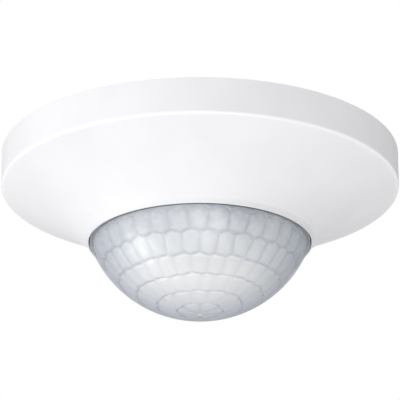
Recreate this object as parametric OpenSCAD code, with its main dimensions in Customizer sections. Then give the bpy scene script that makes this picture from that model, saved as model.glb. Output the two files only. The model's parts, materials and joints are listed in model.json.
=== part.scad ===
// Ceiling motion sensor for a round flush box.
// A load module sits in the box, a sensor head plugs into it from below, and a cover pushes over
// the head. The origin is the middle of the mounting plate's ceiling face and +Z points up into
// the box, so the cover and the lens hang below z = 0. The terminals are on the -Y side.

/* [Cover] */
// Outside diameter of the cover
cover_d = 124; // [122:0.5:128]
// Height of the cover's upright rim below the ceiling
rim_h = 11.9; // [11.5:0.1:13]
// Thickness of the rim and of the trumpet-shaped skirt
cover_wall = 1.8; // [1.4:0.1:2.0]
// Depth of the cover's mouth below the ceiling
mouth_depth = 29.7; // [29.5:0.1:31]
// Radius of the cover's mouth
mouth_r = 34.6; // [34.5:0.1:35]

/* [Lens] */
// Radius of the domed part of the lens
lens_dome_r = 36.6; // [36.4:0.1:37]
// Depth of the lens apex below the ceiling
lens_depth = 53; // [52.5:0.1:54]
// Thickness of the lens shell
lens_wall = 0.8; // [0.6:0.1:1.0]

/* [Sensor head] */
// Outside radius of the head's round housing
head_r = 45; // [45:0.1:45.2]
// Wall thickness of the head's housing
head_wall = 1.6; // [1.4:0.1:1.7]
// Thickness of the printed circuit boards
board_t = 1.6; // [1.0:0.1:1.6]
// Radius at which the two setting dials sit
dial_pitch_r = 40.2; // [40.1:0.1:40.3]

/* [Load module] */
// Radius of the mounting plate
plate_r = 56; // [55:0.5:57]
// Thickness of the mounting plate
plate_t = 2.4; // [2.2:0.1:2.4]
// Outside radius of the can that goes into the flush box
can_r = 25.5; // [25.3:0.1:25.6]
// Height of the can above the ceiling plane
can_h = 21; // [21:0.5:24]
// Distance between the two flush-box screws
box_screw_spacing = 60; // [59:0.5:62]

/* [Hidden] */
$fn = 96;

eps = 0.05;

// Mounting plate
can_seat_r = can_r + 0.3;
can_seat_z = -0.4;
slot_half_w = 2.1;
slot_len = 7;
surface_pcd = 101;
surface_hole_r = 2.2;
surface_hole_angles = [45, 135, 225, 315];
boss_pitch_r = 22;
boss_angles = [190, 270, 350];
boss_r = 2.6;
boss_bore_r = 1.15;
boss_top_z = 18;
module_head_r = 2.3;
module_head_t = 1.2;
module_shank_r = 1.1;
module_pocket_r = 2.5;
module_pocket_t = 1.4;
module_shank_top_z = 12;
post_pitch_r = 19;
post_r = 1.6;
tongue_angles = [0, 120, 240];
tongue_half_angle = 6;
tongue_in_r = 46.2;
tongue_out_r = 47.6;
tongue_tip_z = -9;
tongue_bump_r = 45.3;

// Plug connection between the load module and the head
plug_y = 10;
plug_tail_w = 0.5;
plug_pitch = 2.54;
plug_pins = 6;
plug_pin_w = 0.64;
plug_hole_w = 0.84;
socket_w = 15.6;
socket_t = 2.6;
socket_low_z = -5.5;
socket_opening_w = 17;
socket_opening_t = 4.4;

// Rear housing
can_wall = 1.5;
can_in_r = can_r - can_wall;
step_y = 8;
step_wall = 1.4;
step_in_y = step_y - step_wall;
ledge_top_z = 6;
ledge_t = 1.2;

// Power board
power_board_r = 23.5;
power_board_z = 3;
power_top_z = power_board_z + board_t;

// Relay
relay_x = -9.5;
relay_y = -3.7;
relay_w = 15.4;
relay_d = 19;
relay_wall = 0.8;
relay_base_z = power_top_z + 0.2;
relay_base_h = 1.2;
relay_case_top_z = 19;
relay_in_w = relay_w - 2 * relay_wall;
relay_in_d = relay_d - 2 * relay_wall;
coil_x = relay_x;
coil_y = relay_y - 2.4;
coil_core_r = 1.8;
coil_core_top_z = 15.3;
yoke_y = relay_y - relay_in_d / 2 + 0.4;
yoke_t = 1;
yoke_w = 10;
ear_t = 0.8;
armature_z = 16;
armature_t = 1;
armature_w = 7.6;
armature_len = 13.6;
pivot_r = 0.45;
pivot_z = armature_z + armature_t / 2;
contact_tip_y = yoke_y + 13.2;
contact_tip_z = 14.6;

// Terminal block
block_w = 25.2;
block_y0 = 8.6;
block_y1 = 19.6;
block_top_z = 17.4;
pole_pitch = 7.6;
poles = [-pole_pitch, 0, pole_pitch];
pole_y = 14.2;
clamp_w = 5;
clamp_d = 5.4;
clamp_h = 6;
clamp_z = 6.6;
clamp_wall = 0.8;
clamp_top_t = 1.2;
clamp_gap = 0.2;
bar_w = 2.9;
bar_z = 10.1;
bar_t = 1;
bar_y0 = 9.2;
bar_y1 = 17.9;
leg_w = 2;
leg_t = 0.8;
screw_shank_r = 1.3;
screw_head_r = 1.9;
screw_seat_z = 15.8;
screw_seat_t = 0.6;
screw_top_z = 17.2;
screw_slot_w = 0.6;
screw_slot_d = 0.7;
entry_w = 4.4;
entry_z0 = clamp_z + clamp_wall;
entry_z1 = bar_z - 0.1;

// Sensor head
head_top_z = -2.7;
head_roof_t = 1.5;
head_low_z = -13.7;
front_t = 1.7;
front_low_z = head_low_z - front_t;
aperture_r = 34.5;
head_boss_pitch_r = 41.5;
head_boss_angles = [30, 150, 270];
head_boss_r = 2.5;
head_bore_r = 1.05;
head_shank_r = 1;
head_screw_r = 2;
head_screw_t = 1.3;
head_shank_top_z = -6;
box_screw_clear_r = 4.8;
sensor_board_r = 42.8;
sensor_board_z = -10.6;
sensor_top_z = sensor_board_z + board_t;
dial_angles = [-115, -65];
dial_hole_r = 3.5;
dial_r = 3.2;
dial_top_z = -13.9;
dial_low_z = -17.2;
dial_shaft_r = 1.2;
trimmer_bore_r = 1.25;
trimmer_w = 5;
trimmer_h = 2.4;

// Lens and the pieces that hold it
dome_z = -lens_depth + lens_dome_r;
skirt_r = sqrt(pow(lens_dome_r, 2) - pow(mouth_depth + dome_z, 2));
flange_r = 36.5;
flange_z0 = -12.9;
flange_z1 = -11.7;
seal_in_r = skirt_r + 0.4;
retainer_out_r = 37.2;
baffle_r = 32.9;
baffle_z = -11.9;
baffle_t = 1;
baffle_peg_r = 1;
pyro_r = 4.1;
pyro_flange_r = 4.6;
pyro_low_z = -15;
pyro_window_w = 4.6;
pyro_window_d = 3.4;
light_sensor_at = [11, 6];
led_at = [-11, 6];

// Pull-off springs and the collar that they grip
spring_angles = [90, 210, 330];
spring_half_angle = 3.2;
spring_crest_r = 47.2;
spring_t = 0.4;
collar_in_r = 47.9;
collar_out_r = 49.1;
collar_half_angle = 8;
collar_top_z = -7.6;
catch_r = 47.55;
rib_t = 1.2;

// Cover profile. The skirt falls steadily from the rim and steepens towards the mouth.
cover_r = cover_d / 2;
cover_top_z = -0.3;
edge_r = 0.6;
skirt_start_r = cover_r - edge_r;
lip_r = mouth_r + 0.6;
skirt_slope = 0.46;
skirt_steps = 26;
lip_h = 1.3;
skirt_steepening = mouth_depth - lip_h - rim_h - skirt_slope * (skirt_start_r - lip_r);
skirt_power = 3.2;

function skirt_share(r) = (skirt_start_r - r) / (skirt_start_r - lip_r);

function skirt_z(r) =
    -rim_h - skirt_slope * (skirt_start_r - r) - skirt_steepening * pow(skirt_share(r), skirt_power);

function skirt_gradient(r) =
    skirt_slope
    + skirt_steepening * skirt_power * pow(skirt_share(r), skirt_power - 1)
    / (skirt_start_r - lip_r);

function skirt_inner_z(r) = skirt_z(r) + cover_wall * sqrt(1 + pow(skirt_gradient(r), 2));

function skirt_radii(from_r, to_r) =
    [for (i = [0:skirt_steps]) from_r + (to_r - from_r) * i / skirt_steps];

cover_outline = concat(
    [[cover_r, cover_top_z]],
    [for (a = [0:15:60]) [cover_r - edge_r + edge_r * cos(a), -rim_h + edge_r - edge_r * sin(a)]],
    [for (r = skirt_radii(skirt_start_r, lip_r)) [r, skirt_z(r)]],
    [[mouth_r + 0.3, -mouth_depth + 0.3], [mouth_r + 0.1, -mouth_depth], [mouth_r, -mouth_depth]],
    [for (r = skirt_radii(mouth_r, cover_r - cover_wall)) [r, skirt_inner_z(max(r, lip_r))]],
    [[cover_r - cover_wall, cover_top_z]]
);

// A ring from z0 up to z1
module ring(r_out, r_in, z0, z1) {
    translate([0, 0, z0])
        difference() {
            cylinder(r = r_out, h = z1 - z0);
            translate([0, 0, -1])
                cylinder(r = r_in, h = z1 - z0 + 2);
        }
}

// A disc from z0 up to z1
module disc(r, z0, z1) {
    translate([0, 0, z0])
        cylinder(r = r, h = z1 - z0);
}

// Points on a quarter of a circle in r and z, or its corner where the radius is 0
function edge_arc(r, z, edge, start) =
    edge > 0
    ? [for (a = [start:22.5:start + 90]) [r + edge * cos(a), z + edge * sin(a)]]
    : [[r, z]];

// A disc from z0 up to z1 with rounded lower and upper edges
module edge_disc(r, z0, z1, low_edge, high_edge) {
    rotate_extrude()
        polygon(concat(
            [[0, z0]],
            edge_arc(r - low_edge, z0 + low_edge, low_edge, -90),
            edge_arc(r - high_edge, z1 - high_edge, high_edge, 0),
            [[0, z1]]
        ));
}

// A box with rounded upright edges, centred on x and y, from z0 up to z1
module round_block(w, d, z0, z1, edge) {
    translate([0, 0, z0])
        linear_extrude(z1 - z0)
            union() {
                square([w - 2 * edge, d], center = true);
                square([w, d - 2 * edge], center = true);
                for (x = [-1, 1], y = [-1, 1])
                    translate([x * (w / 2 - edge), y * (d / 2 - edge)])
                        circle(edge);
            }
}

// Children turned half round. The load module is drawn with its terminals towards +Y.
module turned() {
    rotate([0, 0, 180])
        children();
}

// A box centred on x and y, from z0 up to z1
module block(w, d, z0, z1) {
    translate([-w / 2, -d / 2, z0])
        cube([w, d, z1 - z0]);
}

// Children turned about Z to each angle and moved out to a radius
module polar(angles, r = 0) {
    for (a = angles)
        rotate([0, 0, a])
            translate([r, 0, 0])
                children();
}

// An outline in r and z turned through an arc that is centred on the X axis
module arc_sweep(half_angle, outline) {
    rotate([0, 0, -half_angle])
        rotate_extrude(angle = 2 * half_angle)
            polygon(outline);
}

// A slot along X, from z0 up to z1
module x_slot(half_w, length, z0, z1) {
    run = length - 2 * half_w;
    for (side = [-1, 1])
        translate([side * run / 2, 0, 0])
            disc(half_w, z0, z1);
    block(run, 2 * half_w, z0, z1);
}

// ---- Load module ----

module mounting_plate() {
    color("whitesmoke")
        union() {
            difference() {
                edge_disc(plate_r, -plate_t, 0, 0.6, 0);
                disc(can_seat_r, can_seat_z, 1);
                for (side = [-1, 1])
                    translate([side * box_screw_spacing / 2, 0, 0])
                        x_slot(slot_half_w, slot_len, -plate_t - 1, 1);
                polar(surface_hole_angles, surface_pcd / 2)
                    disc(surface_hole_r, -plate_t - 1, 1);
                translate([0, plug_y, 0])
                    block(socket_opening_w, socket_opening_t, -plate_t - 1, 1);
                turned()
                    polar(boss_angles, boss_pitch_r) {
                        disc(boss_bore_r, -plate_t - 1, 1);
                        disc(module_pocket_r, -plate_t - 1, -plate_t + module_pocket_t);
                    }
            }
            polar(surface_hole_angles, post_pitch_r)
                disc(post_r, can_seat_z - eps, power_board_z);
            polar(tongue_angles)
                latch_tongue();
        }
}

// A springy tongue that steadies the head, with a bump that stops just short of its wall
module latch_tongue() {
    mid_z = tongue_tip_z + 2;
    arc_sweep(tongue_half_angle, [
        [tongue_out_r, -plate_t + eps],
        [tongue_in_r, -plate_t + eps],
        [tongue_in_r, mid_z + 0.8],
        [tongue_bump_r, mid_z],
        [tongue_in_r, tongue_tip_z],
        [tongue_out_r, tongue_tip_z]
    ]);
}

module rear_housing() {
    color("gainsboro")
        turned()
            difference() {
                union() {
                    difference() {
                        can_outline(can_r, step_y, ledge_top_z, can_h, 1.2);
                        can_outline(can_in_r, step_in_y, ledge_top_z - ledge_t, can_h - can_wall, 0);
                        disc(can_in_r, -1, can_seat_z + 1);
                    }
                    intersection() {
                        polar(boss_angles, boss_pitch_r)
                            disc(boss_r, can_seat_z, boss_top_z);
                        disc(can_in_r + eps, can_seat_z, can_h);
                    }
                }
                polar(boss_angles, boss_pitch_r)
                    disc(boss_bore_r, -1, boss_top_z - 2);
                for (x = poles)
                    translate([x, bar_y0 + leg_t / 2, 0])
                        block(leg_w + 0.6, leg_t + 0.6, -1, can_h);
                can_vents();
            }
}

// A full disc up to low_top_z and a disc cut off flat at y above it
module can_outline(r, y, low_top_z, top_z, edge) {
    disc(r, can_seat_z, low_top_z);
    intersection() {
        edge_disc(r, can_seat_z, top_z, 0, edge);
        translate([-r, -r, can_seat_z])
            cube([2 * r, r + y, top_z - can_seat_z]);
    }
}

module can_vents() {
    vent_w = 1.2;
    vent_len = 9;
    for (i = [-2:2])
        translate([12 + i * 2.6, -3, can_h])
            block(vent_w, vent_len, -can_wall - 1, 1);
}

module module_screws() {
    color("silver")
        turned()
            polar(boss_angles, boss_pitch_r)
                machine_screw(
                    module_head_r, module_head_t, -plate_t + 0.2, module_shank_r, module_shank_top_z
                );
}

// A pan-head screw whose head is lowest, with a cross recess
module machine_screw(head_r, head_t, low_z, shank_r, top_z) {
    difference() {
        union() {
            edge_disc(head_r, low_z, low_z + head_t, 0.35, 0);
            disc(shank_r, low_z + head_t - eps, top_z);
        }
        for (turn = [0, 90])
            rotate([0, 0, turn])
                block(head_r * 1.1, 0.5, low_z - 1, low_z + head_t * 0.5);
    }
}

module power_board() {
    color("darkgreen")
        difference() {
            disc(power_board_r, power_board_z, power_top_z);
            each_plug_pin()
                disc(plug_tail_w, power_board_z - 1, power_top_z + 1);
            turned() {
                polar(boss_angles, boss_pitch_r)
                    disc(boss_r + 0.3, power_board_z - 1, power_top_z + 1);
                for (x = poles)
                    translate([x, bar_y0 + leg_t / 2, 0])
                        block(leg_w + 0.3, leg_t + 0.3, power_board_z - 1, power_top_z + 1);
            }
        }
}

module at_relay() {
    turned()
        translate([relay_x, relay_y, 0])
            children();
}

module relay_case() {
    color("dimgray")
        at_relay()
            difference() {
                round_block(relay_w, relay_d, relay_base_z, relay_case_top_z, 0.6);
                block(relay_in_w, relay_in_d, relay_base_z - 1, relay_case_top_z - relay_wall);
            }
}

module relay_base() {
    color("black")
        at_relay()
            union() {
                block(relay_in_w - 0.1, relay_in_d - 0.1, relay_base_z, relay_base_z + relay_base_h);
                for (x = [-5, 5], y = [-7, 7])
                    translate([x, y, 0])
                        block(0.6, 1, relay_base_z - 0.2, relay_base_z + eps);
            }
}

module relay_coil() {
    bobbin_r = 4.7;
    winding_r = 4.3;
    low_z = relay_base_z + relay_base_h + 1.1;
    flange_t = 0.8;
    color("peru")
        turned()
            translate([coil_x, coil_y, 0])
                union() {
                    disc(coil_core_r, low_z, coil_core_top_z);
                    disc(bobbin_r, low_z, low_z + flange_t);
                    disc(winding_r, low_z + flange_t, coil_core_top_z - 1.3);
                    disc(bobbin_r, coil_core_top_z - 1.3, coil_core_top_z - 0.5);
                }
}

// An L of soft iron whose two ears carry the armature's pin
module relay_yoke() {
    low_z = relay_base_z + relay_base_h;
    leg_top_z = armature_z - 0.35;
    ear_top_z = pivot_z + pivot_r + 0.8;
    color("slategray")
        turned()
            translate([coil_x, yoke_y, 0])
                difference() {
                    union() {
                        translate([-yoke_w / 2, 0, low_z])
                            cube([yoke_w, coil_y - yoke_y + 3, yoke_t]);
                        translate([-yoke_w / 2, 0, low_z])
                            cube([yoke_w, yoke_t, leg_top_z - low_z]);
                        for (side = [-1, 1])
                            translate([side * (yoke_w - ear_t) / 2, yoke_t, 0])
                                block(ear_t, 2 * yoke_t, leg_top_z - 2, ear_top_z);
                    }
                    translate([0, yoke_t, pivot_z])
                        rotate([0, 90, 0])
                            translate([0, 0, -yoke_w])
                                cylinder(r = pivot_r + 0.05, h = 2 * yoke_w);
                }
}

// The fixed contact on its bent strip
module relay_contacts() {
    low_z = relay_base_z + relay_base_h;
    strip_w = 5;
    strip_t = 0.4;
    strip_z = contact_tip_z - 1.2;
    color("goldenrod")
        turned()
            translate([coil_x, contact_tip_y, 0])
                union() {
                    disc(1, strip_z + strip_t - eps, contact_tip_z);
                    translate([-strip_w / 2, -0.9, strip_z])
                        cube([strip_w, 3, strip_t]);
                    translate([-strip_w / 2, 2.1 - strip_t, low_z])
                        cube([strip_w, strip_t, strip_z - low_z + eps]);
                }
}

module relay_armature() {
    pin_len = yoke_w + 0.4;
    color("slategray")
        turned()
            translate([coil_x, yoke_y + yoke_t, 0])
                union() {
                    translate([-armature_w / 2, -0.6, armature_z])
                        cube([armature_w, armature_len, armature_t]);
                    translate([0, contact_tip_y - yoke_y - yoke_t, 0])
                        disc(1, armature_z - 0.6, armature_z + eps);
                    translate([-pin_len / 2, 0, pivot_z])
                        rotate([0, 90, 0])
                            cylinder(r = pivot_r, h = pin_len);
                }
}

module film_capacitor() {
    body_w = 8.2;
    body_h = 14.5;
    color("gold")
        turned()
            translate([5.4, -3, 0])
                difference() {
                    round_block(body_w, 17.6, power_top_z, power_top_z + body_h, 0.5);
                    for (side = [-1, 1])
                        translate([side * body_w / 2, 0, 0])
                            block(0.4, 10, power_top_z + body_h - 3.5, power_top_z + body_h + 1);
                }
}

module smoothing_capacitor() {
    body_r = 4;
    body_h = 11.5;
    groove_z = power_top_z + 2.2;
    color("midnightblue")
        turned()
            translate([15.5, 1.2, 0])
                difference() {
                    edge_disc(body_r, power_top_z, power_top_z + body_h, 0.3, 0.5);
                    ring(body_r + 1, body_r - 0.3, groove_z, groove_z + 0.8);
                    for (turn = [0, 90])
                        rotate([0, 0, turn])
                            block(5.4, 0.4, power_top_z + body_h - 0.3, power_top_z + body_h + 1);
                }
}

module varistor() {
    disc_r = 4.5;
    disc_t = 4;
    color("royalblue")
        turned()
            translate([14.3, -9.5, power_top_z + disc_r + 1])
                union() {
                    rotate([0, 90, 0])
                        edge_disc(disc_r, -disc_t / 2, disc_t / 2, 1.2, 1.2);
                    for (side = [-1, 1])
                        translate([side * 0.8, side * 2.5, 0])
                            block(0.6, 0.6, -disc_r - 1, -disc_r + 1.5);
                }
}

module choke() {
    core_r = 4;
    wire_r = 3.3;
    color("black")
        turned()
            translate([-8.2, -17.6, 0])
                union() {
                    disc(core_r, power_top_z, power_top_z + 1.2);
                    disc(wire_r, power_top_z + 1.2, power_top_z + 6.8);
                    disc(core_r, power_top_z + 6.8, power_top_z + 8);
                }
}

module fuse_resistor() {
    body_r = 1.7;
    end_r = 1.9;
    end_len = 1.6;
    axis_z = power_top_z + 2.2;
    body_len = 7;
    lead_w = 0.6;
    lead_out = 1.2;
    color("cadetblue")
        turned()
            translate([1.4 - body_len / 2, -17, axis_z])
                union() {
                    rotate([0, 90, 0]) {
                        cylinder(r = body_r, h = body_len);
                        for (z = [0, body_len - end_len])
                            edge_disc(end_r, z, z + end_len, 0.4, 0.4);
                    }
                    translate([-lead_out, -lead_w / 2, -lead_w / 2])
                        cube([body_len + 2 * lead_out, lead_w, lead_w]);
                    for (x = [-lead_out, body_len + lead_out])
                        translate([x, 0, 0])
                            block(lead_w, lead_w, power_top_z - axis_z, lead_w / 2);
                }
}

module bridge_rectifier() {
    color("black")
        turned()
            translate([9.5, -16.6, 0])
                union() {
                    block(4.7, 3.9, power_top_z + 0.2, power_top_z + 2.7);
                    for (x = [-1.25, 1.25])
                        translate([x, 0, 0])
                            block(0.7, 6.2, power_top_z, power_top_z + 0.4);
                }
}

// Children at the place of each plug pin
module each_plug_pin() {
    for (i = [0:plug_pins - 1])
        translate([(i - (plug_pins - 1) / 2) * plug_pitch, plug_y, 0])
            children();
}

module socket_connector() {
    color("black")
        union() {
            difference() {
                translate([0, plug_y, 0])
                    block(socket_w, socket_t, socket_low_z, power_board_z);
                each_plug_pin()
                    block(plug_hole_w, plug_hole_w, socket_low_z - 1, -0.2);
            }
            each_plug_pin()
                block(plug_tail_w, plug_tail_w, power_board_z - eps, power_top_z - 0.2);
        }
}

module terminal_block() {
    pocket_w = clamp_w + 2 * clamp_gap;
    pocket_d = clamp_d + 2 * clamp_gap;
    pocket_top_z = screw_seat_z - screw_seat_t;
    color("lightgray")
        turned()
            difference() {
                translate([0, (block_y0 + block_y1) / 2, 0])
                    round_block(block_w, block_y1 - block_y0, ledge_top_z, block_top_z, 0.5);
                for (x = poles)
                    translate([x, 0, 0]) {
                        translate([0, pole_y, 0]) {
                            block(pocket_w, pocket_d, ledge_top_z - 1, pocket_top_z);
                            disc(screw_shank_r + 0.08, pocket_top_z - 1, block_top_z);
                            disc(screw_head_r + 0.2, screw_seat_z, block_top_z + 1);
                        }
                        translate([-bar_w / 2 - 0.1, bar_y0 - 0.1, bar_z - 0.1])
                            cube([bar_w + 0.2, bar_y1 - bar_y0 + 0.2, bar_t + 0.2]);
                        translate([-leg_w / 2 - 0.1, bar_y0 - 0.1, ledge_top_z - 1])
                            cube([leg_w + 0.2, leg_t + 0.2, bar_z - ledge_top_z + 1.5]);
                        translate([-entry_w / 2, pole_y, entry_z0])
                            cube([entry_w, block_y1 - pole_y + 1, entry_z1 - entry_z0]);
                    }
                for (x = [-pole_pitch / 2, pole_pitch / 2])
                    translate([x, block_y1, 0])
                        block(0.8, 1, ledge_top_z + 1, block_top_z + 1);
            }
}

module contact_bars() {
    color("tan")
        turned()
            for (x = poles)
                translate([x, 0, 0])
                    union() {
                        translate([-bar_w / 2, bar_y0, bar_z])
                            cube([bar_w, bar_y1 - bar_y0, bar_t]);
                        translate([-leg_w / 2, bar_y0, power_board_z])
                            cube([leg_w, leg_t, bar_z - power_board_z + eps]);
                    }
}

module terminal_screw(index) {
    color("silver")
        turned()
            translate([poles[index], pole_y, 0])
                difference() {
                    union() {
                        disc(screw_shank_r, bar_z + bar_t + 0.1, screw_seat_z + 1);
                        edge_disc(screw_head_r, screw_seat_z + 0.1, screw_top_z, 0, 0.25);
                    }
                    block(2 * screw_head_r + 1, screw_slot_w, screw_top_z - screw_slot_d, screw_top_z + 1);
                }
}

module terminal_clamp(index) {
    color("silver")
        turned()
            translate([poles[index], pole_y, 0])
                difference() {
                    block(clamp_w, clamp_d, clamp_z, clamp_z + clamp_h);
                    block(
                        clamp_w - 2 * clamp_wall, clamp_d + 1, clamp_z + clamp_wall,
                        clamp_z + clamp_h - clamp_top_t
                    );
                    disc(screw_shank_r + 0.04, clamp_z + clamp_wall, clamp_z + clamp_h + 1);
                }
}

// ---- Sensor head ----

module head_housing() {
    color("whitesmoke")
        difference() {
            union() {
                difference() {
                    edge_disc(head_r, head_low_z, head_top_z, 0, 0.8);
                    disc(head_r - head_wall, head_low_z - 1, head_top_z - head_roof_t);
                }
                intersection() {
                    polar(head_boss_angles, head_boss_pitch_r)
                        disc(head_boss_r, head_low_z, head_top_z - head_roof_t + eps);
                    disc(head_r - 0.2, head_low_z, head_top_z);
                }
            }
            polar(head_boss_angles, head_boss_pitch_r)
                disc(head_bore_r, head_low_z - 1, head_shank_top_z + 0.5);
            translate([0, plug_y, 0])
                block(socket_opening_w, socket_opening_t, head_low_z, 0);
            for (side = [-1, 1])
                translate([side * box_screw_spacing / 2, 0, 0])
                    x_slot(box_screw_clear_r, 2 * box_screw_clear_r + 3, head_low_z, 0);
        }
}

module front_plate() {
    color("white")
        difference() {
            union() {
                edge_disc(head_r, front_low_z, head_low_z, 0.6, 0);
                ring(aperture_r + 1.4, aperture_r, front_low_z - 0.8, front_low_z + eps);
            }
            disc(aperture_r, front_low_z - 2, 0);
            polar(dial_angles, dial_pitch_r)
                disc(dial_hole_r, front_low_z - 1, 0);
            polar(head_boss_angles, head_boss_pitch_r)
                disc(head_bore_r, front_low_z - 1, 0);
        }
}

module head_screws() {
    color("silver")
        polar(head_boss_angles, head_boss_pitch_r)
            machine_screw(
                head_screw_r, head_screw_t, front_low_z - head_screw_t, head_shank_r, head_shank_top_z
            );
}

module sensor_board() {
    color("darkgreen")
        difference() {
            disc(sensor_board_r, sensor_board_z, sensor_top_z);
            polar(head_boss_angles, head_boss_pitch_r)
                disc(head_boss_r + 0.2, sensor_board_z - 1, sensor_top_z + 1);
            each_plug_pin()
                block(plug_pin_w + 0.2, plug_pin_w + 0.2, sensor_board_z - 1, sensor_top_z + 1);
            for (a = [0, 120, 240])
                translate([3 * cos(a), 3 * sin(a), 0])
                    disc(0.4, sensor_board_z - 1, sensor_top_z + 1);
        }
}

module pin_header() {
    strip_h = 2.5;
    color("black")
        union() {
            translate([0, plug_y, 0])
                block(plug_pins * plug_pitch, plug_pitch, sensor_top_z, sensor_top_z + strip_h);
            each_plug_pin()
                block(plug_pin_w, plug_pin_w, sensor_board_z - 0.2, -0.6);
        }
}

module pyro_sensor() {
    flange_t = 0.5;
    lead_r = 0.3;
    color("silver")
        difference() {
            union() {
                disc(pyro_flange_r, sensor_board_z - flange_t, sensor_board_z);
                edge_disc(pyro_r, pyro_low_z, sensor_board_z - flange_t + eps, 0.5, 0);
                for (a = [0, 120, 240])
                    translate([3 * cos(a), 3 * sin(a), 0])
                        disc(lead_r, sensor_board_z - eps, sensor_top_z + 0.8);
            }
            block(pyro_window_w, pyro_window_d, pyro_low_z - 1, pyro_low_z + 0.5);
        }
}

module pyro_window() {
    color("darkslategray")
        block(pyro_window_w - 0.1, pyro_window_d - 0.1, pyro_low_z + 0.1, pyro_low_z + 0.5);
}

// A clear bullet-shaped package of 3 mm, pointing down from the sensor board
module bullet_package(at, low_z) {
    package_r = 1.5;
    translate([at[0], at[1], 0])
        union() {
            disc(package_r, low_z + package_r, sensor_board_z);
            disc(package_r + 0.4, sensor_board_z - 0.8, sensor_board_z);
            translate([0, 0, low_z + package_r])
                sphere(r = package_r);
        }
}

module light_sensor() {
    color("lightcyan")
        bullet_package(light_sensor_at, -14.6);
}

module status_led() {
    color("tomato")
        bullet_package(led_at, -14.6);
}

module microcontroller() {
    body_w = 7;
    lead_len = 0.9;
    color("black")
        translate([14, 14, 0])
            union() {
                block(body_w, body_w, sensor_top_z + 0.1, sensor_top_z + 1.1);
                for (turn = [0:90:270], i = [-3:3])
                    rotate([0, 0, turn])
                        translate([(body_w + lead_len) / 2 - eps, i * 0.9, 0])
                            block(lead_len, 0.4, sensor_top_z, sensor_top_z + 0.3);
            }
}

module amplifier_chip() {
    color("black")
        translate([-12, 10, 0])
            union() {
                block(8.6, 3.9, sensor_top_z + 0.1, sensor_top_z + 1.5);
                for (i = [-3:3])
                    translate([i * 1.27, 0, 0])
                        block(0.45, 6, sensor_top_z, sensor_top_z + 0.4);
            }
}

// Rows of small resistors and capacitors on the upper side of the sensor board
module chip_parts() {
    color("saddlebrown")
        union() {
            for (i = [0:6])
                translate([-20 + i * 3.2, 18, 0])
                    block(1.2, 2, sensor_top_z, sensor_top_z + 0.6);
            for (i = [0:5])
                translate([4 + i * 3.4, 24, 0])
                    block(2, 1.2, sensor_top_z, sensor_top_z + 0.9);
            for (i = [0:4])
                translate([-14 + i * 3.4, -18, 0])
                    block(1.6, 2.4, sensor_top_z, sensor_top_z + 0.8);
            for (x = [8, 18])
                translate([x, -20, 0])
                    disc(3, sensor_top_z, sensor_top_z + 3.6);
        }
}

module trimmer(angle) {
    color("steelblue")
        rotate([0, 0, angle])
            translate([dial_pitch_r, 0, 0])
                difference() {
                    block(trimmer_w, trimmer_w, sensor_board_z - trimmer_h, sensor_board_z);
                    disc(trimmer_bore_r, sensor_board_z - trimmer_h - 1, sensor_board_z - 0.4);
                }
}

module time_trimmer() {
    trimmer(dial_angles[0]);
}

module twilight_trimmer() {
    trimmer(dial_angles[1]);
}

// A slotted setting dial with a pointer notch and a shaft into its trimmer
module dial(angle) {
    color("orange")
        rotate([0, 0, angle])
            translate([dial_pitch_r, 0, 0])
                difference() {
                    union() {
                        edge_disc(dial_r, dial_low_z, dial_top_z, 0.4, 0);
                        disc(dial_shaft_r, dial_top_z - eps, sensor_board_z - 0.8);
                    }
                    block(4.4, 1, dial_low_z - 1, dial_low_z + 1.2);
                    translate([dial_r, 0, 0])
                        rotate([0, 0, 45])
                            block(1.1, 1.1, dial_low_z - 1, dial_low_z + 1.2);
                }
}

module time_dial() {
    dial(dial_angles[0]);
}

module twilight_dial() {
    dial(dial_angles[1]);
}

// Dome, upright skirt and clamping flange in one shell
module lens() {
    color("aliceblue")
        union() {
            difference() {
                lens_solid(0);
                lens_solid(lens_wall);
            }
            ring(flange_r, skirt_r - lens_wall, flange_z0, flange_z1);
        }
}

// The dome and skirt as a solid, drawn in by an inset
module lens_solid(inset) {
    intersection() {
        translate([0, 0, dome_z])
            sphere(r = lens_dome_r - inset);
        disc(lens_dome_r, -lens_depth - 1, -mouth_depth);
    }
    disc(skirt_r - inset, -mouth_depth - (inset > 0 ? 0.4 : 0), inset > 0 ? 0 : flange_z1);
}

module lens_seal() {
    color("gray")
        ring(flange_r, seal_in_r, head_low_z, flange_z0);
}

module lens_retainer() {
    color("lightgray")
        ring(retainer_out_r, skirt_r - lens_wall + 0.2, flange_z1, sensor_board_z);
}

module inner_baffle() {
    color("white")
        difference() {
            union() {
                disc(baffle_r, baffle_z, baffle_z + baffle_t);
                polar([90, 210, 330], 24)
                    disc(baffle_peg_r, baffle_z, sensor_board_z);
            }
            disc(pyro_flange_r + 0.4, -20, 0);
            for (at = [light_sensor_at, led_at])
                translate([at[0], at[1], 0])
                    disc(2.3, -20, 0);
        }
}

// Bowed leaf springs on the head's wall, with their feet against it
module retaining_springs() {
    foot_r = head_r;
    color("silver")
        polar(spring_angles)
            arc_sweep(spring_half_angle, [
                [foot_r, -13.2],
                [foot_r + spring_t, -13.2],
                [spring_crest_r, -10.8],
                [spring_crest_r, -10.2],
                [foot_r + spring_t, -6.6],
                [foot_r, -6.6],
                [foot_r, -7.2],
                [spring_crest_r - spring_t, -10.3],
                [spring_crest_r - spring_t, -10.7],
                [foot_r, -12.6]
            ]);
}

// ---- Cover ----

module cover() {
    color("white")
        union() {
            rotate_extrude()
                polygon(cover_outline);
            polar(spring_angles)
                collar_segment();
        }
}

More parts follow.
